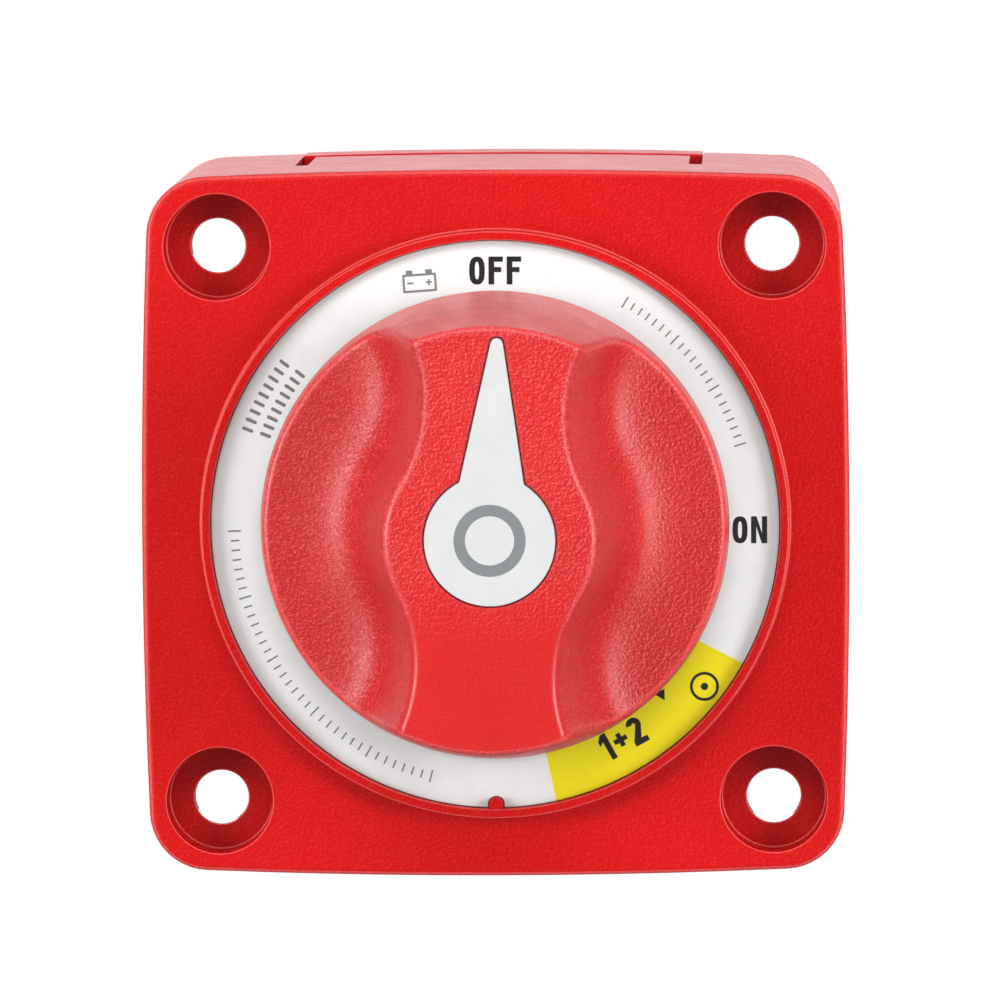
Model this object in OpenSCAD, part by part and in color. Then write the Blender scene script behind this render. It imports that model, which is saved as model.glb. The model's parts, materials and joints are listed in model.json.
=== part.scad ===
// Surface-mounted rotary battery switch: square case with a bowed outline,
// raised dial with a flush label, waisted grip knob, four rear stud terminals
// under a snap-in back cover. All lengths are in millimetres.
//
// Local frame of the drawing modules: x right, y up, z towards the user, with
// z = 0 at the rear mounting plane. The place() wrapper stands the switch up:
// the knob then points along -Y and +Z is up.

/* [Case] */
// Width and height of the case across the middle of its sides
case_w = 68.9; // [68.6:0.1:70]
// How far each side bows outward between two corners
side_bow = 0.6; // [0.4:0.05:1.0]
// Radius of the case's four upright corners
corner_r = 5.8; // [5:0.2:6.4]
// Depth of the case from the rear plane to the face
case_d = 49; // [48:0.5:52]
// Thickness of the side walls
wall = 2.4; // [2.2:0.1:2.5]
// Thickness of the front wall
front_t = 3.2; // [3:0.1:3.4]

/* [Mounting holes] */
// Distance between neighbouring mounting holes
hole_pitch = 54; // [53.8:0.1:54.2]
// Diameter of each mounting hole
hole_d = 5.28; // [4.6:0.02:5.6]
// Diameter of the recess for each screw head
cbore_d = 10.2; // [9.6:0.1:10.8]
// Depth of the recess for each screw head
cbore_t = 4.2; // [3:0.2:6]

/* [Dial] */
// Outer diameter of the raised ring around the label
bezel_d = 57.2; // [56.6:0.1:57.6]
// Width of the raised ring
bezel_w = 0.9; // [0.8:0.05:1.2]
// Height of the raised ring above the face
bezel_h = 2.3; // [2:0.1:2.8]
// Thickness of the label
label_t = 0.35; // [0.2:0.05:0.5]

/* [Knob] */
// Diameter of the knob at its foot
knob_d = 45.6; // [45:0.1:46]
// Height of the grip's top above the face
knob_h = 24.4; // [24:0.1:25]
// Diameter of the knob's drafted wall at the top of the grip
knob_top_d = 41; // [40.4:0.2:41.4]
// Half width of the grip at its middle
grip_lobe_r = 10.3; // [10:0.1:10.6]
// Half width of the grip at its waist
grip_waist = 7; // [6.8:0.1:7.2]
// Distance of the waist from the knob's axis
waist_y = 12.6; // [12.2:0.1:13]
// Turn of the knob at rest, clockwise, inside the detent's free play
knob_rest_turn = 2.3; // [0:0.1:2.5]

/* [Terminals] */
// Diameter of the terminal studs' free ends
stud_d = 10; // [9.6:0.1:10]
// Diameter of the studs under the nuts, at the threads' middle
stud_shank_d = 9; // [8.6:0.1:9]
// Distance between neighbouring terminal studs
stud_pitch = 27; // [26.4:0.2:27.2]

/* [Back cover] */
// Half width of the cover's side lips
cover_half = 20; // [19.6:0.1:20]
// Length of the cover's lips along the case depth
cover_lip = 8.8; // [8:0.2:8.8]

/* [Hidden] */
$fn = 96;
z_face = case_d;
z_in = z_face - front_t;
z_pad = z_face + 0.9;
z_label = z_pad + label_t;
z_ledge = z_face - 18;
z_base = z_ledge - 0.8;
base_t = 8;
z_base_back = z_base - base_t;
knob_z0 = z_label + 0.5;
knob_z1 = z_face + knob_h;
knob_r0 = knob_d / 2;
knob_r1 = knob_top_d / 2;
cell_at = hole_pitch / 2 - 0.4;
cell_r = 7.6;
cell_wall = 1;
cell_skin = 1.3;
floor_t = 2.2;
chamber_r = 24.1;
chamber_wall_r = 26.2;
boss_at = 28.4;
boss_r = 3.2;
pilot_r = 1.5;
shaft_r = 5.5;
shaft_bore_r = 5.56;
rotor_r = 19.6;
ring_in_r = 20.6;
ring_out_r = 24;
opening_half = cover_half + 0.08;
cover_proud = 0.15;
slit_w = 1.3;
pad_angles = [58, 122, 238, 302];
stud_at = stud_pitch / 2;
contact_t = 2;
pad_h = 1.6;
z_contact = z_base + pad_h + 0.05;
z_disc = z_base + 5.2;
z_disc_top = z_disc + 8;
z_plunger = z_disc + 5.8;
plunger_r = 1.5;
e = 0.01;

// ---------------------------------------------------------------- helpers

// Stands the local drawing frame up in the part's frame.
module place() rotate([90, 0, 0]) children();
// The same for everything that turns with the knob.
module place_turning() place() rotate([0, 0, -knob_rest_turn]) children();
module at_corners(d = hole_pitch / 2)
    for (x = [-1, 1], y = [-1, 1]) translate([x * d, y * d, 0]) children();
module four_ways() for (q = [0:3]) rotate(q * 90) children();

function turn2(p, t) = [p[0] * cos(t) - p[1] * sin(t), p[0] * sin(t) + p[1] * cos(t)];
// Square of width w with round corners and sides bowed outward by b.
function bowed(w, b, r, n = 10, m = 10) =
    let (c = w / 2 - r, R = (c * c + b * b) / (2 * b), k = R - w / 2,
         a = (-k + sqrt(2 * (R - r) * (R - r) - k * k)) / 2,
         t = atan2(a, a + k))
    [for (q = [0:3])
        each concat(
            [for (i = [0:n - 1]) let (g = -t + 2 * t * i / n)
                turn2([R * cos(g) - k, R * sin(g)], q * 90)],
            [for (i = [0:m - 1]) let (g = t + (90 - 2 * t) * i / m)
                turn2([a + r * cos(g), a + r * sin(g)], q * 90)])];
module outline(inset = 0)
    polygon(bowed(case_w - 2 * inset, side_bow, max(corner_r - inset, 1.2)));

// Part of a flat ring between radii r0 and r1, centred on angle g.
module sector(r0, r1, g, half)
    intersection() {
        difference() {
            circle(r1);
            circle(r0);
        }
        polygon(concat([[0, 0]],
            [for (i = [-2:2]) let (s = g + half * i / 2) [1.4 * r1 * cos(s), 1.4 * r1 * sin(s)]]));
    }
module ring(r0, r1, h) linear_extrude(h) difference() {
    circle(r1);
    circle(r0);
}
module hex(af, h) cylinder(r = af / sqrt(3), h = h, $fn = 6);

// Coil of n turns: a tube of six-sided section swept along a helix whose
// last half turn at each end lies flat.
module coil(r, wire, h, n, steps = 14) {
    total = n * steps;
    path = [for (i = [0:total]) let (t = i / steps,
            s = (min(max(t - 0.5, 0), n - 1)) / (n - 1))
        [r * cos(360 * t), r * sin(360 * t), wire + (h - 2 * wire) * s]];
    pts = [for (i = [0:total]) let (g = 360 * i / steps)
        for (j = [0:5]) let (u = wire * cos(60 * j), v = wire * sin(60 * j))
            [path[i][0] + u * cos(g), path[i][1] + u * sin(g), path[i][2] + v]];
    polyhedron(pts, concat(
        [[for (j = [0:5]) j]],
        [for (i = [0:total - 1], j = [0:5]) let (p = i * 6 + j, q = i * 6 + (j + 1) % 6)
            each [[p, p + 6, q], [q, p + 6, q + 6]]],
        [[for (j = [0:5]) total * 6 + 5 - j]]), convexity = 8);
}

// ---------------------------------------------------------------- case

// The terminal side of the case, all but the cells behind the mounting holes.
module case_cavity() difference() {
    outline(wall);
    at_corners(cell_at) circle(cell_r);
}

module housing() color([0.86, 0.09, 0.1]) place() difference() {
    union() {
        difference() {
            linear_extrude(z_face) outline();
            // open rear end, closed by the back cover between the corners
            translate([0, 0, -1]) linear_extrude(cover_lip + 1.4) outline(wall);
            // room behind the ledge: terminals and contact base
            translate([0, 0, cover_lip + 0.3]) linear_extrude(z_ledge - cover_lip - 0.3) case_cavity();
            // room around the contact chamber
            translate([0, 0, z_ledge - e]) linear_extrude(z_in - z_ledge + e) difference() {
                case_cavity();
                circle(chamber_wall_r);
                four_ways() translate([boss_at, 0]) circle(boss_r);
            }
            // open cells behind the mounting holes
            translate([0, 0, -1]) linear_extrude(z_face - cbore_t - floor_t + 1) intersection() {
                outline(cell_skin);
                at_corners(cell_at) circle(cell_r - cell_wall);
            }
            // contact chamber with two keyways for the detent ring
            translate([0, 0, z_ledge - 1]) linear_extrude(z_in - z_ledge + 1) {
                circle(chamber_r);
                for (g = [22.5, 202.5]) rotate(g) translate([20, -1.6]) square([5.1, 3.2]);
            }
            // openings for the back cover's lips and slits beside the break-out tabs
            four_ways() {
                translate([-opening_half, 24, -1]) cube([opening_half * 2, case_w, cover_lip + 1.2]);
                for (s = [-1, 1]) translate([s * (opening_half - slit_w / 2) - slit_w / 2, 31, 2])
                    cube([slit_w, 12, 28]);
            }
        }
        // dial seat, raised ring and the label's key
        translate([0, 0, z_face - e]) ring(shaft_bore_r, bezel_d / 2, 0.9 + e);
        translate([0, 0, z_face - e]) ring(bezel_d / 2 - bezel_w, bezel_d / 2, bezel_h + e);
        translate([0, -27.3, z_face - e]) cylinder(r = 0.7, h = bezel_h - 0.2);
        // bearing boss and end stops inside the chamber
        translate([0, 0, z_in - 1.4]) cylinder(r = 9, h = 1.4 + e);
        for (g = [105.8, -60.8]) translate([0, 0, z_in - 1.8]) linear_extrude(1.8 + e) sector(12, 16, g, 7);
    }
    // bearing bore, kept round through the wall
    translate([0, 0, z_in - 2]) cylinder(r = shaft_bore_r, h = front_t + 4);
    // mounting holes with screw-head recesses
    at_corners() {
        translate([0, 0, z_face - cbore_t - floor_t - 1]) cylinder(r = hole_d / 2, h = floor_t + cbore_t + 2);
        translate([0, 0, z_face - cbore_t]) cylinder(r = cbore_d / 2, h = cbore_t + 1);
        translate([0, 0, z_face - 0.3]) cylinder(r1 = cbore_d / 2, r2 = cbore_d / 2 + 0.4, h = 0.4);
    }
    // pilot holes for the base screws
    four_ways() translate([boss_at, 0, z_ledge - 1]) cylinder(r = pilot_r, h = 10);
}

// Cross-shaped plan of the back cover, shrunk by d. It stands a hair proud of the case's sides.
module cover_plan(d = 0) intersection() {
    outline(d - cover_proud);
    union() {
        square([2 * (cover_half - d), 2 * case_w], center = true);
        square([2 * case_w, 2 * (cover_half - d)], center = true);
    }
}
module back_cover() color([0.82, 0.08, 0.1]) place() difference() {
    union() {
        // tray: plate with a rim all round, thick along the four sides
        linear_extrude(2.5) cover_plan();
        linear_extrude(cover_lip) difference() {
            cover_plan();
            intersection() {
                cover_plan(1.2);
                outline(4.2);
            }
        }
        // tongues that steady the cover inside the side walls
        four_ways() for (s = [-1, 1]) translate([s * 9 - 4, 30.4, 2])
            cube([8, case_w / 2 - wall - 0.2 - 30.4, 14]);
    }
    // shallow finger recess in the rear plate
    translate([0, -12, -0.2]) cylinder(r = 6, h = 1);
}

module label_ring() color([0.94, 0.94, 0.92]) place() translate([0, 0, z_pad]) linear_extrude(label_t)
    difference() {
        circle(bezel_d / 2 - bezel_w - 0.08);
        circle(10);
        translate([0, -27.3]) circle(0.8);
    }

// ---------------------------------------------------------------- knob

// The waist's circles touch the middle lobe, so the grip's plan is one smooth wave.
waist_r = (grip_waist * grip_waist + waist_y * waist_y - grip_lobe_r * grip_lobe_r) / (2 * (grip_lobe_r - grip_waist));
waist_x = grip_waist + waist_r;
waist_g = atan2(waist_y, waist_x);

// Height of the scoop's surface above the knob's foot at distance d outside the grip's edge.
scoop_z = [[-1.5, 26.4], [-0.1, 22.4], [0.5, 20.2], [1.2, 16.2], [1.9, 12.2], [2.6, 9],
           [3.4, 6.9], [4.4, 5.5], [5.6, 4.6], [7, 3.95], [8.5, 3.5], [10, 3.28], [12, 3.2], [14, 3.3]];
scoop_top = 40;
// The lobe's cutter stands this much further out, so it meets the waist's cutters at an angle.
cut_step = 0.04;

// Cutter around the knob's own axis, for the sector beside the lobe.
module lobe_cutter(s) intersection() {
    translate([0, 0, knob_z0]) rotate_extrude()
        polygon(concat([for (p = scoop_z) [grip_lobe_r + cut_step + p[0], p[1]]],
                       [[grip_lobe_r + 14, scoop_top], [grip_lobe_r - 1.5, scoop_top]]));
    linear_extrude(120) polygon([[0, 0], s * 60 * [cos(waist_g), sin(waist_g)], [s * 80, 0], s * 60 * [cos(waist_g), -sin(waist_g)]]);
}
// Cutter around one waist circle's centre.
module waist_cutter(s, t) intersection() {
    translate([s * waist_x, t * waist_y, knob_z0]) rotate_extrude()
        polygon(concat([for (p = scoop_z) if (p[0] < waist_r - 0.5) [waist_r - p[0], p[1]]],
                       [[0, 3.4], [0, scoop_top], [waist_r + 1.5, scoop_top]]));
    let (g = waist_g - 8) linear_extrude(120)
        polygon([[s, 0], [s, t * 60], [s * 60, t * 60], s * 90 * [cos(g), t * s * sin(g)]]);
}

module pointer_plan(inset = 0) {
    circle(6.42 - inset);
    hull_r = 0.75 - inset;
    polygon([[3.25 - inset, 5.4], [hull_r, 18.75], [-hull_r, 18.75], [-3.25 + inset, 5.4]]);
    translate([0, 18.75]) circle(hull_r);
}

module knob() color([0.88, 0.1, 0.11]) place_turning() difference() {
    // drafted body with a softened top edge
    translate([0, 0, knob_z0]) rotate_extrude() polygon(concat(
        [[0, 0], [knob_r0, 0]],
        let (H = knob_z1 - knob_z0)
        [[knob_r1 + 0.12, H - 1], [knob_r1 - 0.08, H - 0.45], [knob_r1 - 0.45, H - 0.12], [knob_r1 - 0.9, H], [0, H]]));
    for (s = [-1, 1]) {
        lobe_cutter(s);
        for (t = [-1, 1]) waist_cutter(s, t);
    }
    // seat of the pointer and the screw well under it
    translate([0, 0, knob_z1 - 0.9]) linear_extrude(2) pointer_plan();
    translate([0, 0, knob_z0 + 11.6]) cylinder(r = 4.2, h = 20);
    translate([0, 0, knob_z0 + 5]) cylinder(r = 2.3, h = 10);
    // double-D socket for the spindle
    translate([0, 0, knob_z0 - 1]) linear_extrude(10.2) intersection() {
        circle(shaft_r + 0.05);
        square([8.5, 12], center = true);
    }
    // moulding cores from below
    translate([0, 0, knob_z0 - 1]) ring(8.6, 20.4, 2.1);
    for (t = [-1, 1]) translate([-4.2, t * 13.2 - 4, knob_z0 - 1]) cube([8.4, 8, 18]);
}

module pointer_inlay() color([0.93, 0.94, 0.93]) place_turning()
    translate([0, 0, knob_z1 - 0.9]) linear_extrude(0.72) pointer_plan(0.14);

module knob_washer() color([0.75, 0.76, 0.78]) place_turning()
    translate([0, 0, knob_z0 + 11.6]) ring(2.15, 4, 0.8);

module knob_screw() color([0.7, 0.71, 0.73]) place_turning() translate([0, 0, knob_z0 + 12.4]) difference() {
    union() {
        rotate_extrude() polygon([[0, 0], [3.6, 0], [3.6, 1.2], [3.1, 2], [2, 2.4], [0, 2.5]]);
        translate([0, 0, -13]) cylinder(r = 1.98, h = 13.1);
    }
    for (q = [0, 90]) rotate(q) translate([-0.45, -2, 1.2]) cube([0.9, 4, 2]);
}

// ---------------------------------------------------------------- turning parts inside

module bridge_plan(g, grow = 0) sector(14.2 - grow, 18.6 + grow, g, 40 + grow * 3.5);
module combine_plan(grow = 0) difference() {
    union() {
        circle(6.8 + grow);
        for (g = [13, 77, 193, 257]) sector(4, 12.9 + grow, g, 7 + grow * 6);
    }
    circle(4.2 - grow);
}

module spindle() color([0.12, 0.12, 0.13]) place_turning() difference() {
    union() {
        translate([0, 0, z_base + 2.1]) cylinder(r = rotor_r, h = z_disc_top - z_base - 2.1);
        translate([0, 0, z_disc_top - e]) cylinder(r = shaft_r, h = knob_z0 - z_disc_top + e);
        translate([0, 0, knob_z0 - e]) linear_extrude(9) intersection() {
            circle(shaft_r);
            square([8.4, 12], center = true);
        }
        translate([0, 0, z_base - 5]) cylinder(r = 3, h = 10);
        // stop lug
        translate([0, 0, z_disc_top - e]) linear_extrude(2) sector(12.3, 15.7, 90, 8);
    }
    // pockets for the three contacts and their springs
    translate([0, 0, z_base + 1]) linear_extrude(z_disc - z_base - 1) {
        bridge_plan(0, 0.15);
        bridge_plan(180, 0.15);
        combine_plan(0.15);
    }
    for (g = [-22, 22, 158, 202]) rotate(g) translate([16.4, 0, z_disc - 1]) cylinder(r = 2.3, h = 4.6);
    translate([0, 0, z_disc - 1]) ring(4.6, 7.2, 4.2);
    // radial bores for the detent plungers
    for (q = [90, 270]) rotate(q) translate([8.4, 0, z_plunger]) rotate([0, 90, 0])
        cylinder(r = plunger_r + 0.05, h = 14);
    // seal groove
    translate([0, 0, z_in + 0.8]) ring(4.1, shaft_r + 1, 2.2);
    // screw hole in the end
    translate([0, 0, knob_z0 - 3]) cylinder(r = 2, h = 14);
}

module shaft_seal() color([0.08, 0.08, 0.08]) place_turning() translate([0, 0, z_in + 1.9])
    rotate_extrude() translate([4.83, 0]) circle(0.71);

module thrust_washer() color([0.9, 0.88, 0.8]) place_turning() translate([0, 0, z_disc_top + 0.05])
    ring(shaft_r + 0.08, 9, 0.85);

module bridge_contact(g) color([0.78, 0.45, 0.28]) place_turning()
    translate([0, 0, z_contact]) linear_extrude(contact_t) bridge_plan(g);
module bridge_contact_a() bridge_contact(0);
module bridge_contact_b() bridge_contact(180);
module combine_contact() color([0.78, 0.45, 0.28]) place_turning()
    translate([0, 0, z_contact]) linear_extrude(contact_t) combine_plan();

spring_z = z_contact + contact_t + 0.02;
module bridge_springs(g) color([0.7, 0.72, 0.74]) place_turning()
    for (s = [-22, 22]) rotate(g + s) translate([16.4, 0, spring_z])
        coil(1.75, 0.3, z_disc + 3.6 - spring_z - 0.03, 4);
module bridge_springs_a() bridge_springs(0);
module bridge_springs_b() bridge_springs(180);
module combine_spring() color([0.7, 0.72, 0.74]) place_turning() translate([0, 0, spring_z])
    coil(5.9, 0.45, z_disc + 3.2 - spring_z - 0.03, 3, 24);

module plunger(g) color([0.72, 0.73, 0.75]) place_turning() rotate(g) translate([0, 0, z_plunger])
    rotate([0, 90, 0]) {
        translate([0, 0, 13]) cylinder(r = plunger_r, h = 6);
        translate([0, 0, 19]) sphere(r = plunger_r);
    }
module detent_plunger_a() plunger(90);
module detent_plunger_b() plunger(270);
module detent_spring(g) color([0.7, 0.72, 0.74]) place_turning() rotate(g) translate([8.45, 0, z_plunger])
    rotate([0, 90, 0]) coil(1.1, 0.25, 4.5, 5, 12);
module detent_spring_a() detent_spring(90);
module detent_spring_b() detent_spring(270);

// Fixed ring with a notch for each plunger at the off, on and combine positions,
// and two keys that stop it turning in the chamber.
module detent_ring() color([0.85, 0.84, 0.78]) place() difference() {
    union() {
        translate([0, 0, z_base + 0.05]) cylinder(r = ring_out_r, h = z_in - z_base - 0.1);
        for (g = [22.5, 202.5]) rotate(g) translate([22.5, -1.5, z_ledge + 0.5]) cube([2.5, 3, z_in - z_ledge - 0.55]);
    }
    translate([0, 0, z_base - 1]) linear_extrude(z_in - z_base + 2) {
        circle(ring_in_r);
        for (g = [90, 0, -45, 270, 180, 135]) rotate(g) translate([18.75, 0]) circle(3);
    }
}

// ---------------------------------------------------------------- contact base

module base_plan() difference() {
    outline(wall + 0.3);
    at_corners(cell_at) circle(cell_r + 0.3);
}

module base_gasket() color([0.1, 0.1, 0.1]) place() translate([0, 0, z_base]) linear_extrude(z_ledge - z_base)
    difference() {
        union() {
            circle(chamber_wall_r - 0.2);
            four_ways() translate([boss_at, 0]) circle(boss_r - 0.1);
        }
        circle(chamber_r + 0.1);
        four_ways() translate([boss_at, 0]) circle(pilot_r + 0.1);
    }

module contact_base() color([0.1, 0.1, 0.11]) place() difference() {
    union() {
        translate([0, 0, z_base_back]) linear_extrude(base_t) base_plan();
        // barriers between the terminals
        for (q = [0, 90]) rotate(q) translate([-24, -1.2, 5]) cube([48, 2.4, z_base_back - 5 + e]);
    }
    // lower bearing of the spindle
    translate([0, 0, z_base - 6]) cylinder(r = 3.05, h = 7);
    four_ways() translate([boss_at, 0, z_base_back - 1]) cylinder(r = pilot_r + 0.2, h = base_t + 2);
    // seats of the pads and the stud heads
    for (g = pad_angles) translate([0, 0, z_base - 2]) linear_extrude(3) pad_foot(g, 0.05);
    at_corners(stud_at) {
        translate([0, 0, z_base - 5]) hex(15.1, 6);
        translate([0, 0, z_base_back - 1]) cylinder(r = stud_shank_d / 2 + 0.1, h = base_t + 2);
    }
}

// Foot of a contact pad: a plate from the contact faces out to the stud's head.
module pad_foot(g, grow = 0) {
    s = sign(cos(g));
    t = sign(sin(g));
    sector(7.4 - grow, 19.2 + grow, g, 11.5 + grow * 4);
    translate([s * stud_at, t * stud_at]) circle(7.4 + grow);
}
module contact_pad(g) color([0.82, 0.52, 0.34]) place() {
    translate([0, 0, z_base - 2]) linear_extrude(2) pad_foot(g);
    translate([0, 0, z_base - e]) linear_extrude(pad_h + e) {
        sector(13.7, 19.2, g, 11.5);
        sector(7.4, 13.9, g, 8);
    }
}
module contact_pad_a() contact_pad(pad_angles[0]);
module contact_pad_b() contact_pad(pad_angles[1]);
module contact_pad_c() contact_pad(pad_angles[2]);
module contact_pad_d() contact_pad(pad_angles[3]);

module base_screws() color([0.72, 0.73, 0.75]) place() four_ways() translate([boss_at, 0, z_base_back])
    difference() {
        union() {
            translate([0, 0, -1.8]) rotate_extrude() polygon([[0, 0], [2.3, 0], [2.8, 0.6], [2.8, 1.8], [0, 1.8]]);
            cylinder(r = pilot_r - 0.02, h = base_t + 8);
        }
        for (q = [0, 90]) rotate(q) translate([-1.6, -0.35, -2.4]) cube([3.2, 0.7, 1.6]);
    }

// Stud with a hexagon head held in the base, a shank and a free threaded end.
stud_tip = 3;
free_end = 8.4;
module terminal_studs() color([0.8, 0.8, 0.78]) place() at_corners(stud_at) {
    translate([0, 0, z_base - 4.98]) hex(15, 2.96);
    translate([0, 0, stud_tip + free_end - e]) cylinder(r = stud_shank_d / 2, h = z_base - 4.9 - stud_tip - free_end + e);
    translate([0, 0, stud_tip]) difference() {
        cylinder(r = stud_d / 2, h = free_end);
        difference() {
            translate([0, 0, -1]) cylinder(r = stud_d, h = 1.9);
            translate([0, 0, -0.01]) cylinder(r1 = stud_d / 2 - 0.8, r2 = stud_d / 2 + 0.1, h = 0.92);
        }
    }
}
module stud_flat_washers() color([0.78, 0.78, 0.76]) place() at_corners(stud_at)
    translate([0, 0, z_base_back - 1.55]) ring(5.25, 10, 1.5);
module stud_lock_washers() color([0.66, 0.67, 0.68]) place() at_corners(stud_at)
    translate([0, 0, z_base_back - 3.8]) linear_extrude(2.2) difference() {
        circle(8.2);
        circle(5.1);
        rotate(45) translate([3, -0.5]) square([8, 1]);
    }
module stud_nuts() color([0.78, 0.78, 0.76]) place() at_corners(stud_at)
    translate([0, 0, z_base_back - 10.3]) difference() {
        intersection() {
            hex(16, 6.4);
            rotate_extrude() polygon([[0, 0], [8.1, 0], [9.3, 0.7], [9.3, 5.7], [8.1, 6.4], [0, 6.4]]);
        }
        translate([0, 0, -1]) cylinder(r = stud_shank_d / 2 + 0.03, h = 9);
    }

housing();
back_cover();
label_ring();
knob();
pointer_inlay();
knob_screw();
knob_washer();
spindle();
shaft_seal();
thrust_washer();
detent_ring();
detent_plunger_a();
detent_plunger_b();
detent_spring_a();
detent_spring_b();
base_gasket();
contact_base();
base_screws();
contact_pad_a();
contact_pad_b();
contact_pad_c();
contact_pad_d();
terminal_studs();
stud_flat_washers();
stud_lock_washers();
stud_nuts();
bridge_contact_a();
bridge_contact_b();
combine_contact();
bridge_springs_a();
bridge_springs_b();
combine_spring();
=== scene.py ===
import json
import math

import bmesh
import bpy
import numpy as np
from mathutils import Matrix, Vector
from mathutils.geometry import delaunay_2d_cdt

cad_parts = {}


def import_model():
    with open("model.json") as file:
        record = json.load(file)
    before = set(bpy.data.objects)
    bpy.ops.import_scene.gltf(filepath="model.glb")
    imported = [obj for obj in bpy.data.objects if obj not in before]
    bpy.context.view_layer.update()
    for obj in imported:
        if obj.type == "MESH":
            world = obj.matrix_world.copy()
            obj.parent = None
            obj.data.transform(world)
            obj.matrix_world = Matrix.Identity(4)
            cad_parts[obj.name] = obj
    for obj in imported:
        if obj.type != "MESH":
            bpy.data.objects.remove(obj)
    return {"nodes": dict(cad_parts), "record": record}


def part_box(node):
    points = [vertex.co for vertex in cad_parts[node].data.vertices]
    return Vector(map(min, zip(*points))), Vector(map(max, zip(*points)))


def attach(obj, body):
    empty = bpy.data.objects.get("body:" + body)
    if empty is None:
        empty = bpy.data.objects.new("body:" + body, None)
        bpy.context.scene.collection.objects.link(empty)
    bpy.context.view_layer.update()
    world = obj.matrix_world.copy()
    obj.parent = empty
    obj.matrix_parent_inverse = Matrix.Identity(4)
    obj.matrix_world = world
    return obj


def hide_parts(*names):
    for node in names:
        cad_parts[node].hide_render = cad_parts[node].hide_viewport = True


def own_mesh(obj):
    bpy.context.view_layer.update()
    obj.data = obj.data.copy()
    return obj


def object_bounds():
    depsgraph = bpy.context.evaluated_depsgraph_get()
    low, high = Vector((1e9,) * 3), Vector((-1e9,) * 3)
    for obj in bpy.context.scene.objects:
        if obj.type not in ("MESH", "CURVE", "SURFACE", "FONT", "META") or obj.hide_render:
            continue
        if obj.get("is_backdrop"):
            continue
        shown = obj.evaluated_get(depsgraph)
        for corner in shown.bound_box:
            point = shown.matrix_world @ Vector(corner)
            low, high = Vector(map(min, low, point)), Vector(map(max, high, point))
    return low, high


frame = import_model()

CAD_LO, CAD_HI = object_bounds()
MM = 0.001
# Local drawing frame: x right, y up, z towards the user, millimetres.
STAND = Matrix.Rotation(math.radians(90), 4, "X") @ Matrix.Scale(MM, 4)


def span(node):
    """(lowest, highest) local x, y, z of a CAD node, in millimetres."""
    lo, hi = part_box(node)
    return (Vector((lo.x, lo.z, -hi.y)) / MM, Vector((hi.x, hi.z, -lo.y)) / MM)


KNOB_LO, KNOB_HI = span("knob")
LABEL_LO, LABEL_HI = span("label_ring")
INLAY_LO, INLAY_HI = span("pointer_inlay")
CASE_LO, CASE_HI = span("housing")
PITCH = 54.0
for m in frame["record"].get("mounts", []):
    if m.get("name") == "mounting_holes" and isinstance(m.get("pattern"), dict):
        PITCH = m["pattern"].get("pitch_x_m", PITCH * MM) / MM
Z_FACE = 49.0
BEZEL_R = 28.6
TURN = Matrix.Rotation(math.radians(-2.3), 4, "Z")


# ------------------------------------------------------------------ materials

def srgb(r, g, b):
    f = lambda c: c / 12.92 if c <= 0.04045 else ((c + 0.055) / 1.055) ** 2.4
    return (f(r / 255), f(g / 255), f(b / 255), 1.0)


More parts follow.
